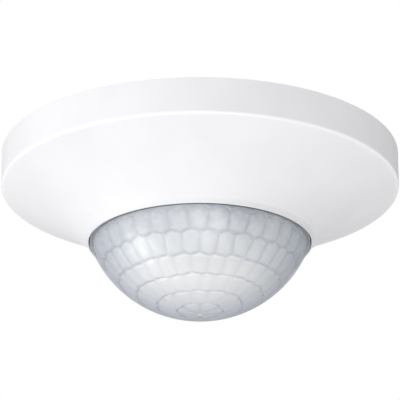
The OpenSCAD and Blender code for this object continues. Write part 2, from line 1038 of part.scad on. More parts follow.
// An arc of collar with a catch above the spring's crest, braced by two ribs to the rim
module collar_segment() {
    root_in_z = skirt_inner_z(collar_in_r) - 0.4;
    root_out_z = skirt_inner_z(collar_out_r) - 0.4;
    rib_out_r = cover_r - cover_wall + 0.3;
    rib_top_z = collar_top_z - 0.8;
    arc_sweep(collar_half_angle, [
        [collar_in_r, root_in_z],
        [collar_out_r, root_out_z],
        [collar_out_r, collar_top_z],
        [collar_in_r, collar_top_z],
        [catch_r, collar_top_z - 0.5],
        [collar_in_r, collar_top_z - 1]
    ]);
    for (side = [-1, 1])
        rotate([0, 0, side * (collar_half_angle - 2)])
            translate([0, rib_t / 2, 0])
                rotate([90, 0, 0])
                    linear_extrude(rib_t)
                        polygon(concat(
                            [[rib_out_r, rib_top_z - 2], [collar_out_r - 0.3, rib_top_z]],
                            [for (r = skirt_radii(collar_out_r - 0.3, rib_out_r))
                                [r, skirt_inner_z(r) - 0.3]]
                        ));
}

mounting_plate();
rear_housing();
module_screws();
power_board();
relay_case();
relay_base();
relay_coil();
relay_yoke();
relay_contacts();
film_capacitor();
smoothing_capacitor();
varistor();
choke();
fuse_resistor();
bridge_rectifier();
socket_connector();
terminal_block();
contact_bars();
relay_armature();
terminal_screw(0);  // terminal_screw_1
terminal_screw(1);  // terminal_screw_2
terminal_screw(2);  // terminal_screw_3
terminal_clamp(0);  // terminal_clamp_1
terminal_clamp(1);  // terminal_clamp_2
terminal_clamp(2);  // terminal_clamp_3
head_housing();
front_plate();
head_screws();
sensor_board();
pin_header();
pyro_sensor();
pyro_window();
light_sensor();
status_led();
microcontroller();
amplifier_chip();
chip_parts();
time_trimmer();
twilight_trimmer();
lens();
lens_seal();
lens_retainer();
inner_baffle();
retaining_springs();
time_dial();
twilight_dial();
cover();
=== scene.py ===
import json
import math

import bpy
import numpy as np
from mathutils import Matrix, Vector


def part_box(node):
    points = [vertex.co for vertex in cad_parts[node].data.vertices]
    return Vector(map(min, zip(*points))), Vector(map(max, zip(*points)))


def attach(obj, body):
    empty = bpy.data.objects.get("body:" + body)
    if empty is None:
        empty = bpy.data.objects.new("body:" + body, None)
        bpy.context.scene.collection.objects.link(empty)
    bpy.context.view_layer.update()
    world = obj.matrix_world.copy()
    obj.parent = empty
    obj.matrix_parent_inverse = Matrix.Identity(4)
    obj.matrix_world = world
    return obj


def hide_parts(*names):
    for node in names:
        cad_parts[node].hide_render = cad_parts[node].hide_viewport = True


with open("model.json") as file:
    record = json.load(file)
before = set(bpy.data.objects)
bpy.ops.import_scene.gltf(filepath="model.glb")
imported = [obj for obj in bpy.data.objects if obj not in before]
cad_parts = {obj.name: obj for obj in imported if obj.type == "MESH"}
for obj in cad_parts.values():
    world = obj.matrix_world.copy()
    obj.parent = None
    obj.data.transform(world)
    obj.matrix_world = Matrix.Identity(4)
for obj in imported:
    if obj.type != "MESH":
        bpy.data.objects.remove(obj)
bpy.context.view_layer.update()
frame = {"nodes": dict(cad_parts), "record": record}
NODES = frame["nodes"]
MM = 0.001

# ---- Sizes, in millimetres, worked out from the frame ----

COVER_LOW, COVER_HIGH = (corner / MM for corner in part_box("cover"))
LENS_LOW, LENS_HIGH = (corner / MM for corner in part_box("lens"))

COVER_R = COVER_HIGH.x
COVER_TOP_Z = COVER_HIGH.z
MOUTH_Z = COVER_LOW.z
MOUTH_R = 34.6
RIM_Z = -11.9
EDGE_R = 0.6
EDGE_FADE = 0.2
EDGE_POLISH = 0.2
TOP_EDGE_R = 0.5
COVER_WALL = 1.8
LIP_R = MOUTH_R + 0.6
LIP_H = 1.3
LIP_EDGE_R = 0.22
SKIRT_SLOPE = 0.46
SKIRT_POWER = 3.2
SKIRT_START_R = COVER_R - EDGE_R
SKIRT_STEEPENING = RIM_Z - SKIRT_SLOPE * (SKIRT_START_R - LIP_R) - (MOUTH_Z + LIP_H)

DOME_R = 36.6
DOME_Z = LENS_LOW.z + DOME_R
LENS_WALL = 0.8
LENS_SKIRT_R = math.sqrt(DOME_R**2 - (MOUTH_Z - DOME_Z) ** 2)
FLANGE_R = LENS_HIGH.x
FLANGE_TOP_Z = LENS_HIGH.z
FLANGE_LOW_Z = FLANGE_TOP_Z - 1.2
CHAMFER = 0.2

TURN = 2 * math.pi


# ---- Mesh helpers ----


def mesh_object(name, points, faces, body):
    """A smooth-shaded piece from points in millimetres, riding on a CAD body."""
    mesh = bpy.data.meshes.new(name)
    mesh.from_pydata([(x * MM, y * MM, z * MM) for x, y, z in points], [], faces)
    mesh.validate()
    mesh.shade_smooth()
    piece = bpy.data.objects.new(name, mesh)
    bpy.context.scene.collection.objects.link(piece)
    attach(piece, body)
    return piece


def arc(centre, radius, start, end, steps):
    """Points on an arc in the r, z plane, with its angles in degrees."""
    angles = [math.radians(start + (end - start) * i / steps) for i in range(steps + 1)]
    return [(centre[0] + radius * math.cos(a), centre[1] + radius * math.sin(a)) for a in angles]


def lathe(outline, segments):
    """Points and faces of a closed outline in r, z turned about the Z axis."""
    count = len(outline)
    points = []
    for s in range(segments):
        a = TURN * s / segments
        points += [(r * math.cos(a), r * math.sin(a), z) for r, z in outline]
    faces = []
    for s in range(segments):
        here, there = s * count, (s + 1) % segments * count
        for i in range(count):
            j = (i + 1) % count
            faces.append((here + i, here + j, there + j, there + i))
    return points, faces


def arc_prism(outline, middle, half_angle, steps):
    """Points and faces of a closed outline in r, z turned through a short arc, with end faces."""
    count = len(outline)
    points = []
    for s in range(steps + 1):
        a = math.radians(middle - half_angle + 2 * half_angle * s / steps)
        points += [(r * math.cos(a), r * math.sin(a), z) for r, z in outline]
    faces = [tuple(range(count)), tuple(range(steps * count, (steps + 1) * count))[::-1]]
    for s in range(steps):
        here, there = s * count, (s + 1) * count
        for i in range(count):
            j = (i + 1) % count
            faces.append((here + j, here + i, there + i, there + j))
    return points, faces


def join_parts(*parts):
    """Several sets of points and faces as one set."""
    points, faces = [], []
    for more_points, more_faces in parts:
        start = len(points)
        points += more_points
        faces += [tuple(start + i for i in face) for face in more_faces]
    return points, faces


# ---- Material helpers ----


class Tree:
    """A short way to add and link nodes."""

    def __init__(self, tree):
        self.tree = tree

    def add(self, kind, inputs=None, **settings):
        node = self.tree.nodes.new(kind)
        for key, value in settings.items():
            setattr(node, key, value)
        for key, value in (inputs or {}).items():
            self.put(node.inputs[key], value)
        return node

    def put(self, socket, value):
        """Links an output, or a node's first output, to the socket, or sets its value."""
        if isinstance(value, bpy.types.Node):
            value = value.outputs[0]
        if isinstance(value, bpy.types.NodeSocket):
            self.tree.links.new(value, socket)
        else:
            socket.default_value = value

    def math(self, operation, first, second=0.0, third=0.0):
        return self.add("ShaderNodeMath", {0: first, 1: second, 2: third}, operation=operation).outputs[0]


class Nodes(Tree):
    """A material's node tree."""

    def __init__(self, name):
        self.material = bpy.data.materials.new(name)
        self.material.use_nodes = True
        super().__init__(self.material.node_tree)
        self.tree.nodes.clear()
        self.output = self.add("ShaderNodeOutputMaterial")

    def position(self, scale=1.0):
        """The object's own coordinates in millimetres, times a scale."""
        coords = self.add("ShaderNodeTexCoord").outputs["Object"]
        factor = scale / MM
        return self.add(
            "ShaderNodeVectorMath", {0: coords, 1: (factor, factor, factor)}, operation="MULTIPLY"
        ).outputs[0]

    def length(self, vector, flat=(1, 1, 0)):
        """A vector's length. flat says which directions count."""
        kept = self.add("ShaderNodeVectorMath", {0: vector, 1: flat}, operation="MULTIPLY")
        return self.add("ShaderNodeVectorMath", {0: kept}, operation="LENGTH").outputs["Value"]

    def noise(self, scale, detail=3.0, vector=None):
        """Noise with features of about 1 / scale millimetres."""
        return self.add(
            "ShaderNodeTexNoise",
            {"Vector": vector or self.position(), "Scale": scale, "Detail": detail},
        ).outputs["Fac"]

    def ramp(self, value, low, high, start=0.0, end=1.0):
        """The value carried from start..end to low..high."""
        return self.add(
            "ShaderNodeMapRange",
            {"Value": value, "From Min": start, "From Max": end, "To Min": low, "To Max": high},
        ).outputs[0]

    def blend(self, amount, first, second):
        node = self.add("ShaderNodeMix", data_type="RGBA")
        self.put(node.inputs["Factor"], amount)
        self.put(node.inputs["A"], first)
        self.put(node.inputs["B"], second)
        return node.outputs["Result"]

    def bump(self, height, strength, distance_mm):
        return self.add(
            "ShaderNodeBump",
            {"Height": height, "Strength": strength, "Distance": distance_mm * MM},
        ).outputs[0]

    def finish(self, shader):
        self.put(self.output.inputs["Surface"], shader)
        return self.material


def colour(r, g, b):
    return (r, g, b, 1.0)


# ---- Cover ----


def skirt_share(r):
    return (SKIRT_START_R - r) / (SKIRT_START_R - LIP_R)


def skirt_z(r):
    return (
        RIM_Z
        - SKIRT_SLOPE * (SKIRT_START_R - r)
        - SKIRT_STEEPENING * skirt_share(r) ** SKIRT_POWER
    )


def skirt_gradient(r):
    power = SKIRT_STEEPENING * SKIRT_POWER * skirt_share(r) ** (SKIRT_POWER - 1)
    return SKIRT_SLOPE + power / (SKIRT_START_R - LIP_R)


def skirt_inner_z(r):
    return skirt_z(max(r, LIP_R)) + COVER_WALL * math.hypot(1, skirt_gradient(max(r, LIP_R)))


def radii(start, end, steps):
    return [start + (end - start) * i / steps for i in range(steps + 1)]


def cover_outline():
    inner_r = COVER_R - COVER_WALL
    top = COVER_TOP_Z - TOP_EDGE_R
    outside = arc((COVER_R - TOP_EDGE_R, top), TOP_EDGE_R, 90, 0, 6)
    outside += [(COVER_R, RIM_Z + EDGE_R + height) for height in (7, 4, 1)]
    outside += arc((COVER_R - EDGE_R, RIM_Z + EDGE_R), EDGE_R, 0, -65, 8)
    outside += [(r, skirt_z(r)) for r in radii(SKIRT_START_R - 0.4, LIP_R, 64)]
    lip = arc((MOUTH_R + LIP_EDGE_R, MOUTH_Z + LIP_EDGE_R), LIP_EDGE_R, -20, -180, 8)
    inside = [(MOUTH_R, z) for z in (MOUTH_Z + 1.2, MOUTH_Z + 2.6)]
    inside += [(r, skirt_inner_z(r)) for r in radii(MOUTH_R, inner_r, 40)]
    return outside + lip + inside + [(inner_r, top), (inner_r + 0.3, COVER_TOP_Z)]


COLLAR_IN_R = 47.9
COLLAR_OUT_R = 49.1
COLLAR_TOP_Z = -7.6
COLLAR_HALF_ANGLE = 8
CATCH_R = 47.55
RIB_T = 1.2
# How far the ribs sink into what they stand on
JOIN = 0.3
SPRING_ANGLES = (90, 210, 330)


def collar_segment(angle):
    outline = [
        (COLLAR_IN_R, skirt_inner_z(COLLAR_IN_R) - 0.4),
        (COLLAR_OUT_R, skirt_inner_z(COLLAR_OUT_R) - 0.4),
        (COLLAR_OUT_R, COLLAR_TOP_Z - 0.2),
        (COLLAR_OUT_R - 0.2, COLLAR_TOP_Z),
        (COLLAR_IN_R + 0.2, COLLAR_TOP_Z),
        (CATCH_R + 0.1, COLLAR_TOP_Z - 0.35),
        (CATCH_R, COLLAR_TOP_Z - 0.5),
        (CATCH_R + 0.1, COLLAR_TOP_Z - 0.65),
        (COLLAR_IN_R, COLLAR_TOP_Z - 1),
    ]
    return arc_prism(outline[::-1], angle, COLLAR_HALF_ANGLE, 12)


def rib(angle):
    """A flat brace from the collar to the rim, standing on the skirt's inner face."""
    out_r = COVER_R - COVER_WALL + JOIN
    in_r = COLLAR_OUT_R - JOIN
    top = COLLAR_TOP_Z - 0.8
    outline = [(out_r, top - 2), (in_r, top)]
    outline += [(r, skirt_inner_z(r) - JOIN) for r in radii(in_r, out_r, 10)]
    a = math.radians(angle)
    along = Vector((math.cos(a), math.sin(a), 0))
    across = Vector((-math.sin(a), math.cos(a), 0))
    count = len(outline)
    points = []
    for side in (-1, 1):
        points += [tuple(along * r + across * side * RIB_T / 2 + Vector((0, 0, z))) for r, z in outline]
    faces = [tuple(range(count)), tuple(range(count, 2 * count))[::-1]]
    faces += [(i, i + count, (i + 1) % count + count, (i + 1) % count) for i in range(count)]
    return points, faces


def build_cover():
    parts = [lathe(cover_outline(), 288)]
    for angle in SPRING_ANGLES:
        parts.append(collar_segment(angle))
        parts += [rib(angle + side * (COLLAR_HALF_ANGLE - 2)) for side in (-1, 1)]
    points, faces = join_parts(*parts)
    cover = mesh_object("cover_shell", points, faces, "cover")
    cover.data.set_sharp_from_angle(angle=math.radians(38))
    cover.data.materials.append(cover_material())
    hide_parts("cover")


def cover_material():
    """Moulded white plastic: faint cloudy colour, fine grain and uneven gloss, with the rim's
    lower edge smoother and painted paler, as a painted highlight along it."""
    n = Nodes("cover_white")
    z = n.add("ShaderNodeSeparateXYZ", {0: n.position()}).outputs["Z"]
    r = n.length(n.position())
    low = n.ramp(z, 0.0, 1.0, RIM_Z + EDGE_R + EDGE_FADE, RIM_Z + EDGE_R - EDGE_FADE)
    outer = n.ramp(r, 0.0, 1.0, SKIRT_START_R - 2 * EDGE_FADE, SKIRT_START_R)
    # The band along the rim's lower edge: a painted highlight in its colour, and lower roughness.
    edge = n.math("MULTIPLY", low, outer)
    cloud = n.ramp(n.noise(0.06, 2.0), 0.0, 1.0, 0.35, 0.65)
    body = n.blend(cloud, colour(0.875, 0.875, 0.895), colour(0.90, 0.90, 0.915))
    uneven = n.ramp(n.noise(0.4, 4.0), 0.37, 0.47, 0.3, 0.7)
    return n.finish(
        n.add(
            "ShaderNodeBsdfPrincipled",
            {
                "Base Color": n.blend(edge, body, colour(0.985, 0.985, 0.99)),
                "Roughness": n.math("SUBTRACT", uneven, n.math("MULTIPLY", edge, EDGE_POLISH)),
                "Normal": n.bump(n.noise(2.5, 3.0), 0.25, 0.006),
            },
        )
    )


# ---- Lens ----

# Rows of facets from the mouth to the apex: the polar angle of the row's middle in degrees, the
# number of facets round it, the turn of its first facet in facet widths, and how strong the
# painted shade lines between neighbours in the row, the painted soft shade towards a facet's edge
# and the painted highlight on the ridge on its mouth side are.
# The first row is cut off by the mouth, so that the tops of the next row come out rounded.
FACET_ROWS = [
    (73.0, 32, 0.5, 0.3, 1.0, 0.0),
    (62.5, 32, 0.0, 0.55, 1.0, 0.25),
    (49.5, 32, 0.5, 0.4, 0.9, 0.5),
    (38.5, 28, 0.0, 0.15, 0.5, 0.9),
    (27.5, 24, 0.5, 0.08, 0.35, 1.0),
    (16.5, 14, 0.0, 0.07, 0.3, 1.0),
    (6.0, 6, 0.5, 0.4, 0.5, 1.0),
]
POLAR_JITTER = 0.7
TURN_JITTER = 0.05
OUTER_RINGS = 30
INNER_RINGS = 118
LENS_SEGMENTS = 560
GROOVE_DEPTH = 0.2
LINE_WIDTH = 0.75
PILLOW_WIDTH = 2.5
FACET_CROWN = 0.5
FACET_REACH = 4.4
FACET_SLOPE = 0.22
RIDGE_AT = 0.7
# Height of the ring of painted shadow on the lens at the mouth
LIP_SHADOW_H = 0.28
GATE_R = 0.75
GATE_H = 0.8


def facet_centres():
    """Unit vectors from the dome's centre to the middle of each facet, and each facet's row."""
    random = np.random.RandomState(5)
    centres, rows = [], []
    for row, (polar, count, shift, *_) in enumerate(FACET_ROWS):
        for i in range(count):
            off_polar, off_turn = random.uniform(-1, 1, 2)
            t = math.radians(polar + POLAR_JITTER * off_polar)
            a = -math.pi / 2 + TURN * (i + shift + TURN_JITTER * off_turn) / count
            centres.append((math.sin(t) * math.cos(a), math.sin(t) * math.sin(a), -math.cos(t)))
            rows.append(row)
    return np.array(centres), np.array(rows)


def facet_relief(directions, polar):
    """For directions from the dome's centre: the relief outwards in mm, how dark the painted shade line is
    there, how bright the painted highlight on the ridge beside it is and how near a facet's edge it is,
    from 0 to 1; the last also sets the painted soft shade."""
    centres, rows = facet_centres()
    angle = np.arccos(np.clip(directions @ centres.T, -1, 1))
    order = np.argsort(angle, axis=1)[:, :2]
    near = np.take_along_axis(angle, order, axis=1) * DOME_R
    row, next_row = rows[order[:, 0]], rows[order[:, 1]]
    side = np.array([r[3] for r in FACET_ROWS])[row]
    soft = np.array([r[4] for r in FACET_ROWS])[row]
    strength = np.where(row == next_row, side, 1.0)
    to_edge = (near[:, 1] - near[:, 0]) / 2
    # This deepens the groove and is also painted shade: a darker line in the colour.
    line = strength * np.clip(1 - to_edge / LINE_WIDTH, 0, 1)
    middle = np.radians(np.array([r[0] for r in FACET_ROWS])[row])
    above = np.clip((polar - middle) * DOME_R / FACET_REACH, -1, 1)
    bright = np.array([r[5] for r in FACET_ROWS])[row]
    # Painted highlight: a bright line beside each row boundary, used only for colour.
    ridge_highlight = bright * strength * np.clip(1 - np.abs(to_edge - RIDGE_AT) / RIDGE_AT, 0, 1)
    ridge_highlight *= np.clip(above * 2, 0, 1)
    # Painted soft shade towards each facet's edge, which also shapes the facet's crown; the cut-off first
    # row is painted shade all over.
    pillow_shade = soft * np.clip(1 - to_edge / PILLOW_WIDTH, 0, 1) ** 2 * (0.6 + 0.4 * strength)
    pillow_shade = np.where(row == 0, 1.0, pillow_shade)
    relief = FACET_CROWN * (1 - pillow_shade) - FACET_SLOPE * above - GROOVE_DEPTH * line
    return relief, line, ridge_highlight, pillow_shade


def ring_points(radius, z, segments):
    angles = [TURN * s / segments for s in range(segments)]
    return [(radius * math.cos(a), radius * math.sin(a), z) for a in angles]


def lens_outer_outline():
    """Radius and height from the apex up the dome, skirt and flange to the inside of the flange."""
    mouth = math.degrees(math.asin(LENS_SKIRT_R / DOME_R))
    dome = arc((0, DOME_Z), DOME_R, -90 + 0.25, -90 + mouth, OUTER_RINGS)
    gate = [
        (GATE_R * share, LENS_LOW.z - GATE_H * math.sqrt(1 - share**2))
        for share in (0.06, 0.3, 0.55, 0.75, 0.9, 1)
    ]
    return gate + [p for p in dome if p[0] > GATE_R + 0.2] + [
        (LENS_SKIRT_R, MOUTH_Z + 1.5),
        (LENS_SKIRT_R, MOUTH_Z + 8),
        (LENS_SKIRT_R, FLANGE_LOW_Z - CHAMFER / 2),
        (LENS_SKIRT_R + CHAMFER / 2, FLANGE_LOW_Z),
        (FLANGE_R - CHAMFER, FLANGE_LOW_Z),
        (FLANGE_R, FLANGE_LOW_Z + CHAMFER),
        (FLANGE_R, FLANGE_TOP_Z - CHAMFER),
        (FLANGE_R - CHAMFER, FLANGE_TOP_Z),
        (LENS_SKIRT_R - LENS_WALL + CHAMFER, FLANGE_TOP_Z),
        (LENS_SKIRT_R - LENS_WALL, FLANGE_TOP_Z - CHAMFER),
        (LENS_SKIRT_R - LENS_WALL, MOUTH_Z + 8),
    ]


def build_lens():
    mouth_polar = math.asin(LENS_SKIRT_R / DOME_R)
    outer = lens_outer_outline()
    points = []
    for radius, z in outer:
        points += ring_points(radius, z, LENS_SEGMENTS)

    polar = np.linspace(mouth_polar, 0.006, INNER_RINGS)
    azimuth = np.arange(LENS_SEGMENTS) * TURN / LENS_SEGMENTS
    t, a = (grid.reshape(-1) for grid in np.meshgrid(polar, azimuth, indexing="ij"))
    directions = np.stack([np.sin(t) * np.cos(a), np.sin(t) * np.sin(a), -np.cos(t)], axis=-1)
    relief, line, ridge_highlight, pillow_shade = facet_relief(directions, t)
    fade = np.clip((mouth_polar - t) / math.radians(2.0), 0, 1)
    height = np.clip(t / mouth_polar, 0, 1)
    radius = DOME_R - LENS_WALL - 0.15 + relief * fade
    inside = directions * radius[:, None] + np.array([0, 0, DOME_Z])
    points += [tuple(p) for p in inside]

    rings = len(outer) + INNER_RINGS
    faces = []
    for ring in range(rings - 1):
        for s in range(LENS_SEGMENTS):
            here = ring * LENS_SEGMENTS + s
            there = ring * LENS_SEGMENTS + (s + 1) % LENS_SEGMENTS
            faces.append((here, there, there + LENS_SEGMENTS, here + LENS_SEGMENTS))
    faces.append(tuple(range(LENS_SEGMENTS))[::-1])
    faces.append(tuple(range((rings - 1) * LENS_SEGMENTS, rings * LENS_SEGMENTS)))

    lens = mesh_object("lens_dome", points, faces, "sensor_head")
    lens.data.set_sharp_from_angle(angle=math.radians(50))
    outer_count = len(outer) * LENS_SEGMENTS
    for name, values in (("line", line), ("ridge_highlight", ridge_highlight), ("pillow_shade", pillow_shade), ("height", height)):
        full = np.concatenate([np.zeros(outer_count), values]).astype(np.float32)
        lens.data.attributes.new(name, "FLOAT", "POINT").data.foreach_set("value", full)
    lens.data.materials.append(skin_material())
    lens.data.materials.append(facet_material())
    outer_faces = (len(outer) - 1) * LENS_SEGMENTS
    for face in lens.data.polygons:
        is_inner = outer_faces <= face.index < len(faces) - 2 or face.index == len(faces) - 1
        face.material_index = 1 if is_inner else 0
    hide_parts("lens")


def facet_material():
    """The moulded inner face: milky, with a darker line of painted shade round each facet and a soft
    painted shade inside it, darker and bluer towards the mouth as painted shade, a bright line beside each
    boundary between rows as a painted highlight, and a near-black band of painted shadow at the mouth."""
    n = Nodes("lens_facets")
    line, ridge_highlight, pillow_shade, height = (
        n.add("ShaderNodeAttribute", attribute_name=name).outputs["Fac"]
        for name in ("line", "ridge_highlight", "pillow_shade", "height")
    )
    # Painted shade: darker and bluer towards the mouth, where the cover shades the lens.
    towards_mouth = n.ramp(height, 0.0, 1.0, 0.5, 0.97)
    body = n.blend(towards_mouth, colour(0.90, 0.895, 0.885), colour(0.50, 0.535, 0.585))
    # Painted soft shade: the darker edge colour towards each facet's edge and over the cut-off first row.
    edge = n.blend(towards_mouth, colour(0.72, 0.74, 0.77), colour(0.35, 0.39, 0.455))
    rounded = n.blend(pillow_shade, body, edge)
    clouded = n.blend(n.ramp(n.noise(0.5, 3.0), 0.0, 0.3, 0.4, 0.65), rounded, colour(0.80, 0.81, 0.83))
    # Painted highlight: white along each row's ridge.
    lit = n.blend(n.ramp(ridge_highlight, 0.0, 0.9), clouded, colour(1.0, 1.0, 1.0))
    broken = n.ramp(n.noise(0.9, 2.0), 0.25, 1.0, 0.35, 0.6)
    # Painted shade: a darker line in the grooves round each facet, broken by noise.
    lined = n.blend(n.ramp(n.math("MULTIPLY", line, broken), 0.0, 0.85), lit, colour(0.44, 0.48, 0.55))
    # Painted shadow: a near-black band at the mouth, where the cover's lip shades the facets.
    tint = n.blend(n.ramp(height, 0.0, 1.0, 0.995, 0.9995), lined, colour(0.05, 0.055, 0.065))
    diffuse = n.add("ShaderNodeBsdfDiffuse", {"Color": tint})
    gloss = n.add("ShaderNodeBsdfGlossy", {"Color": colour(1, 1, 1), "Roughness": 0.3})
    return n.finish(n.add("ShaderNodeMixShader", {0: 0.06, 1: diffuse, 2: gloss}))


def skin_material():
    """The smooth outer face: mostly see-through to the facets, faintly milky and glossy, and
    darker where it is seen at a slant, for the wall's tint, with painted shade making that darker towards
    the apex, and a ring of painted shadow at the mouth. Only its front side is glossy, so light gets back
    out."""
    n = Nodes("lens_skin")
    slant = n.add("ShaderNodeLayerWeight", {"Blend": 0.5}).outputs["Facing"]
    z = n.add("ShaderNodeSeparateXYZ", {0: n.position()}).outputs["Z"]
    # The slant tint stands for the wall's tint; being darker towards the apex than near the mouth is
    # painted shade.
    up = n.ramp(z, 0.0, 1.0, LENS_LOW.z + 4, MOUTH_Z - 3)
    limb = n.blend(up, colour(0.42, 0.47, 0.56), colour(0.64, 0.69, 0.76))
    through = n.blend(n.ramp(slant, 0.0, 1.0, 0.25, 0.92), colour(0.99, 0.99, 0.99), limb)
    clear = n.add("ShaderNodeBsdfTransparent", {"Color": through})
    # Painted shadow: a near-black ring round the skirt at the mouth, where the cover's lip shades the lens.
    lip_shadow = n.math("COMPARE", z, MOUTH_Z + LIP_SHADOW_H / 2 - 0.05, LIP_SHADOW_H / 2)
    tint = n.blend(lip_shadow, colour(0.90, 0.92, 0.95), colour(0.03, 0.032, 0.036))
    milk = n.add("ShaderNodeBsdfDiffuse", {"Color": tint})
    cloud = n.ramp(n.noise(0.3, 3.0), 0.03, 0.07, 0.3, 0.7)
    skirt = n.ramp(z, 0.0, 0.85, MOUTH_Z - 0.1, MOUTH_Z - 0.05)
    share = n.math("MAXIMUM", cloud, skirt)
    body = n.add("ShaderNodeMixShader", {0: share, 1: clear, 2: milk})
    haze = n.bump(n.noise(0.5, 2.0), 0.05, 0.02)
    sharp = n.add("ShaderNodeBsdfGlossy", {"Color": colour(1, 1, 1), "Roughness": 0.26, "Normal": haze})
    soft = n.add("ShaderNodeBsdfGlossy", {"Color": colour(1, 1, 1), "Roughness": 0.45, "Normal": haze})
    gloss = n.add("ShaderNodeMixShader", {0: 0.5, 1: sharp, 2: soft})
    rim = n.add("ShaderNodeLayerWeight", {"Blend": 0.3}).outputs["Fresnel"]
    behind = n.add("ShaderNodeNewGeometry").outputs["Backfacing"]
    amount = n.math("MULTIPLY", n.ramp(rim, 0.10, 0.95), n.math("SUBTRACT", 1.0, behind))
    return n.finish(n.add("ShaderNodeMixShader", {0: amount, 1: body, 2: gloss}))


# ---- Looks of the carried-over nodes ----

SLOT_OF = {part["node"]: part["material_slot"] for part in frame["record"]["subparts"]}
X, Y, Z = range(3)


def node_box(name):
    """Lowest corner, highest corner and middle of a node, in millimetres."""
    low, high = (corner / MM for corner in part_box(name))
    return low, high, (low + high) / 2


class Look(Nodes):
    """A node tree with one Principled shader, whose zones are picked out by place in millimetres."""

    def __init__(self, name):
        super().__init__(name)
        self.place = self.position()
        parts = self.add("ShaderNodeSeparateXYZ", {0: self.place})
        self.axes = [parts.outputs[axis] for axis in (X, Y, Z)]

    def between(self, value, low, high):
        """1 where the value lies from low to high, and 0 elsewhere."""
        middle, half = (low + high) / 2, (high - low) / 2
        return self.math("COMPARE", value, middle, half)

    def outside(self, value, low, high):
        return self.math("SUBTRACT", 1.0, self.between(value, low, high))

    def distance(self, centre, flat=(1, 1, 0)):
        """Distance from an axis or a point through centre. flat says which directions count."""
        offset = self.add("ShaderNodeVectorMath", {0: self.place, 1: tuple(centre)}, operation="SUBTRACT")
        return self.length(offset, flat)

    def stretched(self, scales):
        return self.add("ShaderNodeVectorMath", {0: self.place, 1: scales}, operation="MULTIPLY").outputs[0]

    def mottle(self, light, dark, scale=0.3, detail=3.0):
        amount = self.ramp(self.noise(scale, detail, self.place), 0.0, 1.0, 0.32, 0.68)
        return self.blend(amount, colour(*dark), colour(*light))

    def uneven(self, middle, spread, scale=0.8):
        return self.ramp(
            self.noise(scale, 4.0, self.place), middle - spread, middle + spread, 0.3, 0.7
        )

    def pick(self, mask, inside, elsewhere):
        """A number that is inside where the mask is 1."""
        node = self.add("ShaderNodeMix")
        self.put(node.inputs["Factor"], mask)
        self.put(node.inputs["A"], elsewhere)
        self.put(node.inputs["B"], inside)
        return node.outputs["Result"]

    def solid(self, tint, roughness, **inputs):
        named = {"Base Color": tint, "Roughness": roughness}
        named.update({key.replace("_", " "): value for key, value in inputs.items()})
        return self.finish(self.add("ShaderNodeBsdfPrincipled", named))


TIN = (0.72, 0.72, 0.70)
TIN_DARK = (0.58, 0.58, 0.57)


def plastic_look(name, light, dark, roughness, grain=2.5, depth=0.02):
    """Spark-eroded moulded plastic with faint flow clouds."""
    n = Look(name)
    tint = n.mottle(light, dark, 0.07, 2.0)
    erosion = n.noise(grain, 5.0, n.place)
    return n.solid(tint, n.uneven(roughness, 0.06), Normal=n.bump(erosion, 0.35, depth))


def metal_look(name, light, dark, roughness, along=(8.0, 8.0, 0.8), depth=0.012):
    """Plated or plain metal with fine scratches along the slow direction and a mottled tint."""
    n = Look(name)
    scratches = n.noise(1.0, 5.0, n.stretched(along))
    tint = n.mottle(light, dark, 0.5, 5.0)
    gloss = n.ramp(scratches, roughness - 0.08, roughness + 0.1, 0.3, 0.7)
    return n.solid(tint, gloss, Metallic=1.0, Normal=n.bump(scratches, 0.3, depth))


def leaded_look(name, body, body_dark, roughness, is_lead, bumps=2.0, depth=0.02):
    """A plastic body with tinned leads or ends where is_lead gives 1."""
    n = Look(name)
    mask = is_lead(n)
    tint = n.blend(mask, n.mottle(body, body_dark, 0.6), n.mottle(TIN, TIN_DARK, 1.2, 4.0))
    gloss = n.pick(mask, 0.3, n.uneven(roughness, 0.06))
    relief = n.bump(n.noise(bumps, 4.0, n.place), 0.4, depth)
    return n.solid(tint, gloss, Metallic=mask, Normal=relief)


TRACE_PITCH = 2.54
TRACE_HALF_W = 0.22
PAD_R = 0.62
DRILL_R = 0.28
# Each cell of the board draws a number from 0 to 1: which draws give a run or a pad.
X_RUN_DRAWS = (0.0, 0.34)
Y_RUN_DRAWS = (0.34, 0.70)
PAD_DRAWS = (0.26, 0.52)


